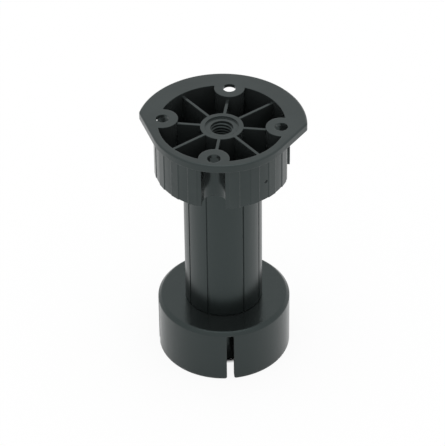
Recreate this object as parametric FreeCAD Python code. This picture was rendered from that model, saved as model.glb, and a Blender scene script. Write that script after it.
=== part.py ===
import FreeCAD, Part
import math
import os

# Adjustable cabinet leg: a mounting socket that is screwed under a cabinet, a leg tube pushed up into it,
# and a foot that screws into the tube's lower end to set the height.
# Sizes are in millimetres. The origin is the middle of the socket's top face, on the leg's axis.
# +Z points up to the cabinet, and -Y is the trimmed side of the flange, which faces the plinth.

# Whole leg
leg_height = 122.0  # top face to floor, with the foot screwed home
foot_travel = 20.0  # how far the foot screws out

# Leg tube
tube_radius = 17.4
tube_wall = 2.4
tube_seat_depth = 14.0  # top face of the socket down to the tube's upper end
tube_end_chamfer = 0.4
tube_groove_width = 0.8
tube_groove_depth = 0.5
tube_panels = 4
tube_wide_panel_angle = 54.5
tube_turn = 11.2  # middle of a wide panel, counted from the front

# Socket cup
cup_depth = 24.1
cup_wall = 1.9
cup_floor = 2.0
cup_beyond_screws = 3.7  # screw axis out to the cup's wall
flute_pitch_angle = 18.0
flute_width = 4.7
flute_height = 0.3  # the strip's sides slope back at 45 degrees
sleeve_wall = 1.8
sleeve_clearance = 0.1
gate_mark_radius = 0.9
gate_mark_depth = 0.4
gate_mark_drop = 14.7
gate_mark_angle = 47.0

# Socket flange
flange_overhang = 7.5  # beyond the cup's wall, behind and at the sides
flange_trim_overhang = 1.6  # beyond the cup's wall, along the trimmed front
flange_trim_angle = 63.0  # from the front to the square of each straight trimmed side
flange_thickness = 3.6  # over the lip that is turned down round its edge
flange_plate = 1.6  # inside the lip
flange_lip = 1.7
flange_corner_radius = 2.5
flange_edge_round = 0.8

# Screw ears and the channels under them
screw_count = 4
screw_circle_radius = 26.0
screw_hole_radius = 2.9
channel_radius = 5.25
channel_wall = 1.5

# Hub with the centre thread, and the ribs that carry it
hub_radius = 9.5
hub_drop = 1.9  # top face down to the hub and the ribs
hub_length = 15.0
hub_counterbore_radius = 7.4
hub_counterbore_depth = 0.8
centre_thread_radius = 5.0
rib_count = 8
rib_thickness = 1.3

# Adjusting foot
foot_height = 26.7
foot_radius = 29.9
foot_top_thickness = 2.3
foot_skirt_wall = 2.2
foot_edge_chamfer = 1.5
foot_ring_radius = 17.4
foot_ring_wall = 1.8
foot_ring_lift = 0.6  # the inner ring stays this far off the floor
foot_rib_count = 8
foot_rib_thickness = 1.5
foot_rib_lift = 7.0
foot_slot_count = 4
foot_slot_width = 3.3
foot_slot_drop = 1.9  # top face down to the slot's upper end
foot_slot_corner = 1.0
foot_turn = 12.9  # a slot, counted from the front
thread_depth = 1.2
thread_clearance = 0.1
thread_engagement = 25.0  # stem left in the tube when the foot is screwed right out
stem_wall = 2.5
stem_end_chamfer = 1.0

# Sizes that follow from those
spill = 1.0  # how far a cutting shape runs past the face that it opens
tube_bore_radius = tube_radius - tube_wall
sleeve_bore_radius = tube_radius + sleeve_clearance
sleeve_radius = sleeve_bore_radius + sleeve_wall
cup_radius = screw_circle_radius + cup_beyond_screws
cup_inner_radius = cup_radius - cup_wall
flange_radius = cup_radius + flange_overhang
flange_trim_radius = cup_radius + flange_trim_overhang
ear_radius = channel_radius + channel_wall
outside_radius = flange_radius + spill
floor_level = -leg_height
foot_top_level = floor_level + foot_height
stem_radius = tube_bore_radius - thread_depth - thread_clearance
stem_length = foot_travel + thread_engagement

middle = FreeCAD.Vector(0, 0, 0)
upwards = FreeCAD.Vector(0, 0, 1)


def around(radius, angle, level):
    """The point at an angle counted from the front, -Y, towards +X."""
    turn = math.radians(angle)
    return FreeCAD.Vector(radius * math.sin(turn), -radius * math.cos(turn), level)


def turned(shape, angle):
    """A copy of a shape made at the front, turned about the leg's axis."""
    copy = shape.copy()
    copy.rotate(middle, upwards, angle)
    return copy


def pattern(shape, count, first_angle=0.0):
    """Evenly spaced copies of a shape made at the front."""
    return [turned(shape, first_angle + 360.0 * k / count) for k in range(count)]


def post(radius, bottom, top, offset=0.0):
    """An upright cylinder, on the axis or set off towards the front."""
    return Part.makeCylinder(radius, top - bottom, FreeCAD.Vector(0, -offset, bottom))


def block(width, near, far, bottom, top):
    """A block at the front, from one distance off the axis to another."""
    corner = FreeCAD.Vector(-width / 2, -far, bottom)
    return Part.makeBox(width, far - near, top - bottom, corner)


def revolved(points):
    """A solid turned about the axis from corners given as radius and level."""
    corners = [FreeCAD.Vector(radius, 0, level) for radius, level in points]
    section = Part.Face(Part.makePolygon(corners + corners[:1]))
    return section.revolve(middle, upwards, 360)


def bored_ring(outer, inner, bottom, top):
    """A round wall about the axis, open at both ends."""
    return post(outer, bottom, top).cut(post(inner, bottom - spill, top + spill))


def channel_form(radius, bottom, top):
    """A U open to the outside, round the front screw's axis."""
    straight = block(2 * radius, screw_circle_radius, outside_radius, bottom, top)
    return post(radius, bottom, top, screw_circle_radius).fuse(straight)


def edges_at(solid, level):
    """The edges round a solid's flat face at a level."""
    return [edge for edge in solid.Edges if all(abs(v.Z - level) < 1e-6 for v in edge.Vertexes)]


def flange_form(inset, top):
    """A round slab with its front trimmed by two straight sides that run into a smaller arc. It stands from
    the flange's underside up to a level, with its outline drawn in by the inset."""
    rim = flange_radius - inset
    trim = flange_trim_radius - inset
    corner_angle = flange_trim_angle + math.degrees(math.acos(trim / rim))
    right_corner = around(rim, corner_angle, -flange_thickness)
    left_corner = around(rim, -corner_angle, -flange_thickness)
    right_tangent = around(trim, flange_trim_angle, -flange_thickness)
    left_tangent = around(trim, -flange_trim_angle, -flange_thickness)
    rear = around(rim, 180.0, -flange_thickness)
    front = around(trim, 0.0, -flange_thickness)
    outline = Part.Wire([
        Part.Arc(right_corner, rear, left_corner).toShape(),
        Part.makeLine(left_corner, left_tangent),
        Part.Arc(left_tangent, front, right_tangent).toShape(),
        Part.makeLine(right_tangent, right_corner),
    ])
    slab = Part.Face(outline).extrude(upwards * (flange_thickness + top))
    corners = [edge for edge in slab.Edges if is_upright_at(edge, right_corner, left_corner)]
    return slab.makeFillet(flange_corner_radius, corners)


def is_upright_at(edge, *places):
    """Whether an edge stands upright over one of the places."""
    start = edge.Vertexes[0].Point
    end = edge.Vertexes[-1].Point
    if abs(start.z - end.z) < 1e-3:
        return False
    return any(math.hypot(start.x - place.x, start.y - place.y) < 1e-3 for place in places)


def cup_flutes():
    """Flat-faced strips down the cup's wall, left out where the screw channels open."""
    half = flute_width / 2
    half_face = half - flute_height
    wall_middle = cup_radius - cup_wall / 2
    wall_at_edge = math.sqrt(cup_radius ** 2 - half ** 2)
    face = wall_at_edge + flute_height
    outline = [
        (-half, wall_middle),
        (half, wall_middle),
        (half, wall_at_edge),
        (half_face, face),
        (-half_face, face),
        (-half, wall_at_edge),
    ]
    corners = [FreeCAD.Vector(across, -out, -cup_depth) for across, out in outline]
    strip = Part.Face(Part.makePolygon(corners + corners[:1]))
    strip = strip.extrude(upwards * (cup_depth - flange_plate / 2))
    screw_pitch = 360.0 / screw_count
    channel_half_angle = math.degrees(math.asin((channel_radius + flute_width / 2) / cup_radius))
    strips = []
    for k in range(round(360.0 / flute_pitch_angle)):
        angle = k * flute_pitch_angle
        from_screw = abs((angle + screw_pitch / 2) % screw_pitch - screw_pitch / 2)
        if from_screw > channel_half_angle:
            strips.append(turned(strip, angle))
    return strips


def mounting_socket():
    """Flange and cup in one moulding, cored out from above round the ears, the ribs, the hub and the sleeve that
    takes the tube, and from below by the screw channels."""
    floor_top = cup_floor - cup_depth
    sleeve = bored_ring(sleeve_radius, sleeve_bore_radius, -cup_depth, -tube_seat_depth)
    hub = post(hub_radius, -hub_drop - hub_length, -hub_drop)
    wall_middle = cup_radius - cup_wall / 2
    rib_over_tube = block(rib_thickness, 0.0, wall_middle, -tube_seat_depth, -hub_drop)
    sleeve_middle = sleeve_radius - sleeve_wall / 2
    rib_beside_sleeve = block(rib_thickness, sleeve_middle, wall_middle, -cup_depth, -tube_seat_depth)
    ribs = pattern(rib_over_tube.fuse(rib_beside_sleeve), rib_count)
    ears = pattern(channel_form(ear_radius, -cup_depth, 0.0), screw_count)
    kept_in_recess = sleeve.fuse([hub] + ribs + ears)

    recess = post(cup_inner_radius, floor_top, spill).cut(kept_in_recess)
    tube_space = post(sleeve_bore_radius, -cup_depth - spill, -tube_seat_depth).cut(hub)
    channel = channel_form(channel_radius, -cup_depth - spill, -flange_thickness)
    screw_hole = post(screw_hole_radius, -flange_thickness - spill, spill, screw_circle_radius)
    centre_thread = post(centre_thread_radius, -hub_drop - hub_length - spill, spill)
    counterbore = post(hub_counterbore_radius, -hub_drop - hub_counterbore_depth, spill)
    gate_mark = Part.makeCylinder(
        gate_mark_radius, outside_radius, around(cup_radius - gate_mark_depth, 0.0, -gate_mark_drop),
        FreeCAD.Vector(0, -1, 0))

    flange = flange_form(0.0, 0.0)
    flange = flange.makeFillet(flange_edge_round, edges_at(flange, 0.0))
    inside_lip = flange_form(flange_lip, -flange_plate)
    channel_head = channel_form(channel_radius, -flange_thickness - spill, -flange_plate)
    body = flange.cut(inside_lip).fuse([post(cup_radius, -cup_depth, -flange_plate / 2)] + cup_flutes())
    cuts = [recess, tube_space, centre_thread, counterbore, turned(gate_mark, gate_mark_angle)]
    cuts += pattern(channel, screw_count)
    cuts += [head.common(inside_lip) for head in pattern(channel_head, screw_count)]
    cuts += pattern(screw_hole, screw_count)
    return body.cut(cuts).removeSplitter()


def leg_tube():
    """A plain tube with narrow grooves that part its wall into wide and narrow panels."""
    chamfer = tube_end_chamfer
    wall = revolved([
        (tube_bore_radius, foot_top_level),
        (tube_radius - chamfer, foot_top_level),
        (tube_radius, foot_top_level + chamfer),
        (tube_radius, -tube_seat_depth - chamfer),
        (tube_radius - chamfer, -tube_seat_depth),
        (tube_bore_radius, -tube_seat_depth),
    ])
    groove = block(
        tube_groove_width, tube_radius - tube_groove_depth, tube_radius + spill,
        foot_top_level - spill, spill - tube_seat_depth)
    grooves = []
    for side in (-1, 1):
        grooves += pattern(groove, tube_panels, tube_turn + side * tube_wide_panel_angle / 2)
    return wall.cut(grooves)


def foot_slot():
    """A slot through the skirt, open at the floor, with its two lower corners rounded."""
    half = foot_slot_width / 2
    corner = foot_slot_corner
    top = foot_top_level - foot_slot_drop
    near = foot_radius - foot_skirt_wall - spill
    rounding = corner * math.sqrt(0.5)
    corner_level = floor_level + corner

    def at(side, level):
        return FreeCAD.Vector(side, -near, level)

    left_arc = Part.Arc(
        at(-half - corner, floor_level),
        at(-half - corner + rounding, corner_level - rounding),
        at(-half, corner_level))
    right_arc = Part.Arc(
        at(half, corner_level),
        at(half + corner - rounding, corner_level - rounding),
        at(half + corner, floor_level))
    upper = Part.makePolygon([at(-half, corner_level), at(-half, top), at(half, top), at(half, corner_level)])
    lower = Part.makePolygon([
        at(half + corner, floor_level),
        at(half + corner, floor_level - spill),
        at(-half - corner, floor_level - spill),
        at(-half - corner, floor_level),
    ])
    outline = Part.Wire([left_arc.toShape()] + upper.Edges + [right_arc.toShape()] + lower.Edges)
    reach = foot_radius + spill - near
    return Part.Face(outline).extrude(FreeCAD.Vector(0, -reach, 0))


def adjusting_foot():
    """An upturned cup on a rim, with an inner ring under the tube and a hollow screw stem."""
    underside = foot_top_level - foot_top_thickness
    shell = post(foot_radius, floor_level, foot_top_level)
    shell = shell.makeChamfer(foot_edge_chamfer, edges_at(shell, foot_top_level))
    shell = shell.cut(post(foot_radius - foot_skirt_wall, floor_level - spill, underside))
    ring = bored_ring(
        foot_ring_radius, foot_ring_radius - foot_ring_wall,
        floor_level + foot_ring_lift, foot_top_level - foot_top_thickness / 2)
    ring_middle = foot_ring_radius - foot_ring_wall / 2
    skirt_middle = foot_radius - foot_skirt_wall / 2
    rib = block(
        foot_rib_thickness, ring_middle, skirt_middle,
        floor_level + foot_rib_lift, foot_top_level - foot_top_thickness / 2)
    rib_offset = 180.0 / foot_rib_count
    stem_top = foot_top_level + stem_length
    stem_bore_radius = stem_radius - stem_wall
    stem = revolved([
        (stem_bore_radius, underside),
        (stem_radius, underside),
        (stem_radius, stem_top - stem_end_chamfer),
        (stem_radius - stem_end_chamfer, stem_top),
        (stem_bore_radius, stem_top),
    ])
    foot = shell.fuse([ring, stem] + pattern(rib, foot_rib_count, foot_turn + rib_offset))
    stem_bore = post(stem_bore_radius, underside - spill, stem_top + spill)
    slots = pattern(foot_slot(), foot_slot_count, foot_turn)
    return foot.cut([stem_bore] + slots).removeSplitter()


os.makedirs("parts", exist_ok=True)
pieces = {
    "mounting_socket": mounting_socket(),
    "leg_tube": leg_tube(),
    "adjusting_foot": adjusting_foot(),
}
for name, shape in pieces.items():
    solids = shape.Solids
    box = shape.BoundBox
    print(name, "solids", len(solids), "valid", shape.isValid(), "volume", round(shape.Volume, 1))
    print("  low", round(box.XMin, 2), round(box.YMin, 2), round(box.ZMin, 2))
    print("  high", round(box.XMax, 2), round(box.YMax, 2), round(box.ZMax, 2))
    shape.exportStep("parts/" + name + ".step")
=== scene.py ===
# Adjustable cabinet leg: a socket that is screwed under a cabinet, a tube pushed up into it, and a foot that
# screws in and out of the tube to set the height. All three are black mouldings. Lengths are in metres.
import math
import bmesh
import bpy
from mathutils import Matrix, Vector


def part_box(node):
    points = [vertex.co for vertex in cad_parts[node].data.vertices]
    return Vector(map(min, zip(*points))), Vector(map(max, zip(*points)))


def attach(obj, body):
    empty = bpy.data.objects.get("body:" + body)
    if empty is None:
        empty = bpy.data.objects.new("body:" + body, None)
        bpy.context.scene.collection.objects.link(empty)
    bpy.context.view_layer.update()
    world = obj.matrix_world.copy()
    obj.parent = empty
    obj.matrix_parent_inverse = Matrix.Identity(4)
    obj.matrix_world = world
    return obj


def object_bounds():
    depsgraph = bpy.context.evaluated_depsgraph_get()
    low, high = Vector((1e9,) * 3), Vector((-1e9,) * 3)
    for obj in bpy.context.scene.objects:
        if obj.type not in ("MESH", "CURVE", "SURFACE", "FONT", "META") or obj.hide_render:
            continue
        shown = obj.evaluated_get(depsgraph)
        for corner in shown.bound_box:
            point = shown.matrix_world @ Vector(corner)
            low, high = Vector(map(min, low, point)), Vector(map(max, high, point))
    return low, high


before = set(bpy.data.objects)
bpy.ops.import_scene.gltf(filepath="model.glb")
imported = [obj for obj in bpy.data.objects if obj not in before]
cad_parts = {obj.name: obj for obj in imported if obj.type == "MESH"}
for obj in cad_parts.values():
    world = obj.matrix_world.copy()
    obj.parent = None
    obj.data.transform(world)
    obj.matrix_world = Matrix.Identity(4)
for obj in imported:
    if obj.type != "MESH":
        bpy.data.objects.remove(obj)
cad_low, cad_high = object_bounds()


# Mounting socket
# The flange, fluted cup, screw ears, ribs and hub come out of one mould, in black plastic with a satin skin.
# Four screws through the ears hold it under the cabinet, or one stud in the moulded thread of its hub.

def moulded_plastic(name, colour, roughness, mirror, edge_radius, drawn_out=1.0):
    """Black moulded plastic: cloudy flow marks, faint waves, a fine mould grain and softened edges.
    mirror is the strength of its shine. drawn_out stretches the marks and waves along the leg's axis,
    as where a long piece is drawn out of its mould."""
    shine_tint = (0.80, 1.0, 0.99, 1.0)
    noise_low = 0.3
    noise_high = 0.7
    cloud_scale = 55.0
    cloud_detail = 4.0
    cloud_tint = 0.15
    cloud_roughness = 0.03
    wave_scale = 280.0
    wave_depth = 0.00006
    grain_scale = 2600.0
    grain_depth = 0.000012
    fine_detail = 2.0
    edge_samples = 6
    material = bpy.data.materials.new(name)
    material.use_nodes = True
    nodes = material.node_tree.nodes
    links = material.node_tree.links
    shader = nodes["Principled BSDF"]
    shader.inputs["Specular IOR Level"].default_value = mirror
    shader.inputs["Specular Tint"].default_value = shine_tint

    place = nodes.new("ShaderNodeTexCoord")
    stretch = nodes.new("ShaderNodeMapping")
    stretch.inputs["Scale"].default_value = (1.0, 1.0, 1.0 / drawn_out)
    links.new(place.outputs["Object"], stretch.inputs["Vector"])

    def noise(scale, detail, vector):
        texture = nodes.new("ShaderNodeTexNoise")
        texture.inputs["Scale"].default_value = scale
        texture.inputs["Detail"].default_value = detail
        links.new(vector, texture.inputs["Vector"])
        return texture.outputs["Fac"]

    def spread(value, low, high):
        """Stretches the middle of a noise, where most of it lies, to run from low to high."""
        remap = nodes.new("ShaderNodeMapRange")
        remap.inputs["From Min"].default_value = noise_low
        remap.inputs["From Max"].default_value = noise_high
        remap.inputs["To Min"].default_value = low
        remap.inputs["To Max"].default_value = high
        links.new(value, remap.inputs["Value"])
        return remap.outputs["Result"]

    def raised(height, depth, normal):
        bump = nodes.new("ShaderNodeBump")
        bump.inputs["Distance"].default_value = depth
        links.new(height, bump.inputs["Height"])
        links.new(normal, bump.inputs["Normal"])
        return bump.outputs["Normal"]

    clouds = noise(cloud_scale, cloud_detail, stretch.outputs["Vector"])
    waves = noise(wave_scale, fine_detail, stretch.outputs["Vector"])
    grain = noise(grain_scale, fine_detail, place.outputs["Object"])

    tint = nodes.new("ShaderNodeMix")
    tint.data_type = "RGBA"
    tint.inputs["A"].default_value = [(1.0 - cloud_tint) * part for part in colour] + [1.0]
    tint.inputs["B"].default_value = [(1.0 + cloud_tint) * part for part in colour] + [1.0]
    links.new(spread(clouds, 0.0, 1.0), tint.inputs["Factor"])
    links.new(tint.outputs["Result"], shader.inputs["Base Color"])
    uneven = spread(clouds, roughness - cloud_roughness, roughness + cloud_roughness)
    links.new(uneven, shader.inputs["Roughness"])

    softened = nodes.new("ShaderNodeBevel")
    softened.samples = edge_samples
    softened.inputs["Radius"].default_value = edge_radius
    wavy = raised(waves, wave_depth, softened.outputs["Normal"])
    links.new(raised(grain, grain_depth, wavy), shader.inputs["Normal"])
    return material


def finish_node(name, material):
    """Gives a CAD node its material."""
    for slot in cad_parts[name].material_slots:
        slot.material = material


socket_plastic = moulded_plastic(
    "socket_plastic", (0.0215, 0.0250, 0.0248), roughness=0.20, mirror=0.39, edge_radius=0.0004)
finish_node("mounting_socket", socket_plastic)


def thread_tree():
    """A ridge that winds up a round wall, right-handed, and fades out at both ends.
    Its section is a trapezoid whose root is sunk a little into the wall.
    A negative depth makes it stand inwards."""
    tree = bpy.data.node_groups.new("thread_ridge", "GeometryNodeTree")
    tree.is_modifier = True
    lengths = ("Wall radius", "Depth", "Sunk", "Root width", "Crest width", "Pitch", "Start level")
    for label in lengths + ("Turns", "Fade"):
        tree.interface.new_socket(label, in_out="INPUT", socket_type="NodeSocketFloat")
    tree.interface.new_socket("Steps", in_out="INPUT", socket_type="NodeSocketInt")
    tree.interface.new_socket("Material", in_out="INPUT", socket_type="NodeSocketMaterial")
    tree.interface.new_socket("Geometry", in_out="OUTPUT", socket_type="NodeSocketGeometry")
    nodes = tree.nodes
    links = tree.links
    sizes = nodes.new("NodeGroupInput").outputs

    def joined(socket, value):
        if isinstance(value, float):
            socket.default_value = value
        else:
            links.new(value, socket)

    def computed(operation, first, second):
        node = nodes.new("ShaderNodeMath")
        node.operation = operation
        joined(node.inputs[0], first)
        joined(node.inputs[1], second)
        return node.outputs["Value"]

    def point(x=0.0, y=0.0, z=0.0):
        node = nodes.new("ShaderNodeCombineXYZ")
        joined(node.inputs["X"], x)
        joined(node.inputs["Y"], y)
        joined(node.inputs["Z"], z)
        return node.outputs["Vector"]

    helix = nodes.new("GeometryNodeCurveSpiral")
    helix.inputs["Reverse"].default_value = True
    links.new(sizes["Steps"], helix.inputs["Resolution"])
    links.new(sizes["Turns"], helix.inputs["Rotations"])
    links.new(sizes["Wall radius"], helix.inputs["Start Radius"])
    links.new(sizes["Wall radius"], helix.inputs["End Radius"])
    links.new(computed("MULTIPLY", sizes["Pitch"], sizes["Turns"]), helix.inputs["Height"])
    upright = nodes.new("GeometryNodeSetCurveNormal")
    upright.mode = "Z_UP"
    links.new(helix.outputs["Curve"], upright.inputs["Curve"])

    section = nodes.new("GeometryNodeCurvePrimitiveQuadrilateral")
    section.mode = "POINTS"
    corners = (("Sunk", "Root width", -0.5), ("Sunk", "Root width", 0.5),
               ("Depth", "Crest width", 0.5), ("Depth", "Crest width", -0.5))
    for k, (reach, width, side) in enumerate(corners):
        corner = point(x=sizes[reach], y=computed("MULTIPLY", sizes[width], side))
        links.new(corner, section.inputs["Point " + str(k + 1)])

    along = nodes.new("GeometryNodeSplineParameter").outputs["Factor"]
    from_end = computed("MINIMUM", along, computed("SUBTRACT", 1.0, along))
    full = computed("MINIMUM", 1.0, computed("DIVIDE", from_end, sizes["Fade"]))
    ridge = nodes.new("GeometryNodeCurveToMesh")
    links.new(upright.outputs["Curve"], ridge.inputs["Curve"])
    links.new(section.outputs["Curve"], ridge.inputs["Profile Curve"])
    links.new(full, ridge.inputs["Scale"])

    placed = nodes.new("GeometryNodeTransform")
    links.new(ridge.outputs["Mesh"], placed.inputs["Geometry"])
    links.new(point(z=sizes["Start level"]), placed.inputs["Translation"])
    realised = nodes.new("GeometryNodeRealizeInstances")
    links.new(placed.outputs["Geometry"], realised.inputs["Geometry"])
    coloured = nodes.new("GeometryNodeSetMaterial")
    links.new(realised.outputs["Geometry"], coloured.inputs["Geometry"])
    links.new(sizes["Material"], coloured.inputs["Material"])
    links.new(coloured.outputs["Geometry"], nodes.new("NodeGroupOutput").inputs["Geometry"])
    return tree


winding_tree = thread_tree()


def wound_thread(name, **sizes):
    """A plain mesh object of a thread ridge. The sizes are the tree's inputs, in small letters."""
    merge_distance = 1e-7
    sharp_angle = math.radians(35.0)
    carrier = bpy.data.objects.new(name + "_carrier", bpy.data.meshes.new(name + "_carrier"))
    bpy.context.scene.collection.objects.link(carrier)
    winding = carrier.modifiers.new("winding", "NODES")
    winding.node_group = winding_tree
    for socket in winding_tree.interface.items_tree:
        if socket.in_out == "INPUT":
            winding[socket.identifier] = sizes[socket.name.lower().replace(" ", "_")]
    evaluated = carrier.evaluated_get(bpy.context.evaluated_depsgraph_get())
    mesh = bpy.data.meshes.new_from_object(evaluated)
    bpy.data.objects.remove(carrier)
    shape = bmesh.new()
    shape.from_mesh(mesh)
    bmesh.ops.remove_doubles(shape, verts=shape.verts, dist=merge_distance)
    bmesh.ops.recalc_face_normals(shape, faces=shape.faces)
    shape.to_mesh(mesh)
    shape.free()
    mesh.shade_smooth()
    mesh.set_sharp_from_angle(angle=sharp_angle)
    thread = bpy.data.objects.new(name, mesh)
    bpy.context.scene.collection.objects.link(thread)
    return thread


hub_bore_radius = 0.0050
hub_bore_bottom = -0.0169
hub_thread_pitch = 0.0015
hub_thread_turns = 9.0
hub_thread_lift = 0.00015
hub_ridge_depth = 0.0008
hub_ridge_sunk = 0.0001
hub_ridge_root_width = 0.0014
hub_ridge_crest_width = 0.0004
hub_thread = wound_thread(
    "hub_thread", wall_radius=hub_bore_radius, depth=-hub_ridge_depth, sunk=hub_ridge_sunk,
    root_width=hub_ridge_root_width, crest_width=hub_ridge_crest_width, pitch=hub_thread_pitch,
    turns=hub_thread_turns, start_level=hub_bore_bottom + hub_thread_lift, fade=0.12, steps=64,
    material=socket_plastic)
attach(hub_thread, "socket")


# Leg tube
# A straight tube moulded in the same black plastic, parted by narrow grooves into wide and narrow panels.
# It is pushed up into the socket, and a coarse thread inside its lower end takes the foot's stem.

tube_plastic = moulded_plastic(
    "tube_plastic", (0.0056, 0.0066, 0.0065), roughness=0.31, mirror=0.58, edge_radius=0.0004, drawn_out=9.0)
finish_node("leg_tube", tube_plastic)

adjusting_pitch = 0.0050
ridge_root_width = 0.0022
ridge_crest_width = 0.0014
ridge_depth = 0.00115
ridge_sunk = 0.0002
ridge_steps = 96
tube_bore_radius = 0.0150
tube_low, tube_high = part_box("leg_tube")
tube_thread_turns = 5.0
tube_thread_lift = 0.0040
tube_thread_start = tube_low.z + tube_thread_lift
tube_thread = wound_thread(
    "tube_thread", wall_radius=tube_bore_radius, depth=-ridge_depth, sunk=ridge_sunk,
    root_width=ridge_root_width, crest_width=ridge_crest_width, pitch=adjusting_pitch,
    turns=tube_thread_turns, start_level=tube_thread_start, fade=0.05, steps=ridge_steps,
    material=tube_plastic)
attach(tube_thread, "tube")


# Adjusting foot
# A round foot moulded as an upturned cup, with slots down its skirt that a spanner or a screwdriver turns.
# Its hollow stem carries the adjusting thread and screws up into the tube.

foot_plastic = moulded_plastic(
    "foot_plastic", (0.0095, 0.0110, 0.0108), roughness=0.20, mirror=0.51, edge_radius=0.0013, drawn_out=6.0)
finish_node("adjusting_foot", foot_plastic)

stem_radius = 0.0137
stem_thread_turns = 8.0
stem_thread_start = tube_thread_start - adjusting_pitch / 2.0
stem_thread = wound_thread(
    "stem_thread", wall_radius=stem_radius, depth=ridge_depth, sunk=-ridge_sunk,
    root_width=ridge_root_width, crest_width=ridge_crest_width, pitch=adjusting_pitch,
    turns=stem_thread_turns, start_level=stem_thread_start, fade=0.03, steps=ridge_steps,
    material=foot_plastic)
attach(stem_thread, "foot")


# Floor and light
# The leg stands on a white table inside a white light tent with a broad soft lamp over it.
# The table shows as white to the camera and in reflections, with part of the leg's own shadow on it,
# and loses that white under the foot, so that the foot's hollow stays dark. For the camera the white still
# reaches in under the foot's skirt, where the foot shades the table: that is painted light, seen through the
# slots.

def seen_directly(nodes, links):
    """1 for camera, glossy and transmission rays, 0 for the rays that only carry light."""
    path = nodes.new("ShaderNodeLightPath")
    total = path.outputs["Is Camera Ray"]
    for kind in ("Is Glossy Ray", "Is Transmission Ray"):
        either = nodes.new("ShaderNodeMath")
        either.operation = "MAXIMUM"
        links.new(total, either.inputs[0])
        links.new(path.outputs[kind], either.inputs[1])
        total = either.outputs["Value"]
    return total


def table_white():
    """Matt white with a share of plain white over it for the rays that see it directly. That share fades in
    between two distances from the leg's axis, which lie under the foot."""
    matt_colour = (0.95, 0.95, 0.95, 1.0)
    camera_share = 0.90
    # For the camera the white share reaches in under the foot's skirt, where the foot shades the table:
    # painted light seen through the slots. It fades out between these two distances, nearer the stem.
    painted_light_fade = (0.0175, 0.0195)
    mirror_share = 0.50
    mirror_fade = (0.0270, 0.0300)
    material = bpy.data.materials.new("table_white")
    material.use_nodes = True
    nodes = material.node_tree.nodes
    links = material.node_tree.links
    nodes.clear()
    matt = nodes.new("ShaderNodeBsdfDiffuse")
    matt.inputs["Color"].default_value = matt_colour
    white = nodes.new("ShaderNodeEmission")
    white.inputs["Strength"].default_value = 1.0
    flat_place = nodes.new("ShaderNodeVectorMath")
    flat_place.operation = "MULTIPLY"
    flat_place.inputs[1].default_value = (1.0, 1.0, 0.0)
    links.new(nodes.new("ShaderNodeTexCoord").outputs["Object"], flat_place.inputs[0])
    from_axis = nodes.new("ShaderNodeVectorMath")
    from_axis.operation = "LENGTH"
    links.new(flat_place.outputs["Vector"], from_axis.inputs[0])

    def white_share(ray, fade, share):
        outwards = nodes.new("ShaderNodeMapRange")
        outwards.inputs["From Min"].default_value = fade[0]
        outwards.inputs["From Max"].default_value = fade[1]
        outwards.inputs["To Max"].default_value = share
        links.new(from_axis.outputs["Value"], outwards.inputs["Value"])
        seen = nodes.new("ShaderNodeMath")
        seen.operation = "MULTIPLY"
        links.new(ray, seen.inputs[0])
        links.new(outwards.outputs["Result"], seen.inputs[1])
        return seen.outputs["Value"]

    camera_ray = nodes.new("ShaderNodeLightPath").outputs["Is Camera Ray"]
    larger = nodes.new("ShaderNodeMath")
    larger.operation = "MAXIMUM"
    # The camera's white under the foot's skirt is painted light, seen through the slots.
    links.new(white_share(camera_ray, painted_light_fade, camera_share), larger.inputs[0])
    links.new(white_share(seen_directly(nodes, links), mirror_fade, mirror_share), larger.inputs[1])
    mixed = nodes.new("ShaderNodeMixShader")
    links.new(larger.outputs["Value"], mixed.inputs["Fac"])
    links.new(matt.outputs["BSDF"], mixed.inputs[1])
    links.new(white.outputs["Emission"], mixed.inputs[2])
    links.new(mixed.outputs["Shader"], nodes.new("ShaderNodeOutputMaterial").inputs["Surface"])
    return material


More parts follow.
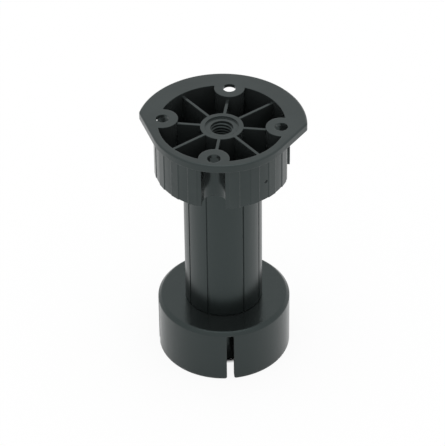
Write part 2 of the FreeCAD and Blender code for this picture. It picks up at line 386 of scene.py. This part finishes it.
floor_half = 3.0
floor_level = cad_low.z
corner_signs = ((-1, -1), (1, -1), (1, 1), (-1, 1))
floor_corners = [(x * floor_half, y * floor_half, floor_level) for x, y in corner_signs]
floor_mesh = bpy.data.meshes.new("floor")
floor_mesh.from_pydata(floor_corners, [], [(0, 1, 2, 3)])
floor_mesh.materials.append(table_white())
floor = bpy.data.objects.new("floor", floor_mesh)
bpy.context.scene.collection.objects.link(floor)

tent_light = 0.9
tent = bpy.data.worlds.new("white_tent")
tent.use_nodes = True
nodes = tent.node_tree.nodes
links = tent.node_tree.links
level = nodes.new("ShaderNodeMapRange")
level.inputs["To Min"].default_value = tent_light
level.inputs["To Max"].default_value = 1.0
links.new(seen_directly(nodes, links), level.inputs["Value"])
nodes["Background"].inputs["Color"].default_value = (1.0, 1.0, 1.0, 1.0)
links.new(level.outputs["Result"], nodes["Background"].inputs["Strength"])
bpy.context.scene.world = tent
bpy.context.scene.view_settings.view_transform = "Standard"

lamp_height = 1.0
lamp_radius = 0.45
lamp_radiance = 1.25
lamp_data = bpy.data.lights.new("overhead_lamp", "AREA")
lamp_data.shape = "DISK"
lamp_data.size = 2.0 * lamp_radius
lamp_data.energy = lamp_radiance * math.pi * math.pi * lamp_radius ** 2
lamp = bpy.data.objects.new("overhead_lamp", lamp_data)
lamp.location = (0.0, 0.0, lamp_height)
bpy.context.scene.collection.objects.link(lamp)


# Camera
# It looks down at the leg from a little right of the trimmed front, through a long lens from far away.
# The aim and the roll set the leg in the picture as the photograph has it.

camera_turn = math.radians(7.91)
camera_height = math.radians(38.35)
camera_distance = 1.220
camera_roll = math.radians(-0.73)
sight_level = -0.050
aim_level = -0.0557
aim_aside = -0.00023
back = Vector((
    math.sin(camera_turn) * math.cos(camera_height),
    -math.cos(camera_turn) * math.cos(camera_height),
    math.sin(camera_height)))
eye = Vector((0.0, 0.0, sight_level)) + camera_distance * back
aim = Vector((aim_aside * math.cos(camera_turn), aim_aside * math.sin(camera_turn), aim_level))
lens = bpy.data.cameras.new("camera")
lens.sensor_width = 36.0
lens.lens = 221.1
camera = bpy.data.objects.new("camera", lens)
facing = (aim - eye).to_track_quat("-Z", "Y").to_matrix().to_4x4()
camera.matrix_world = Matrix.Translation(eye) @ facing @ Matrix.Rotation(camera_roll, 4, "Z")
bpy.context.scene.collection.objects.link(camera)
bpy.context.scene.camera = camera
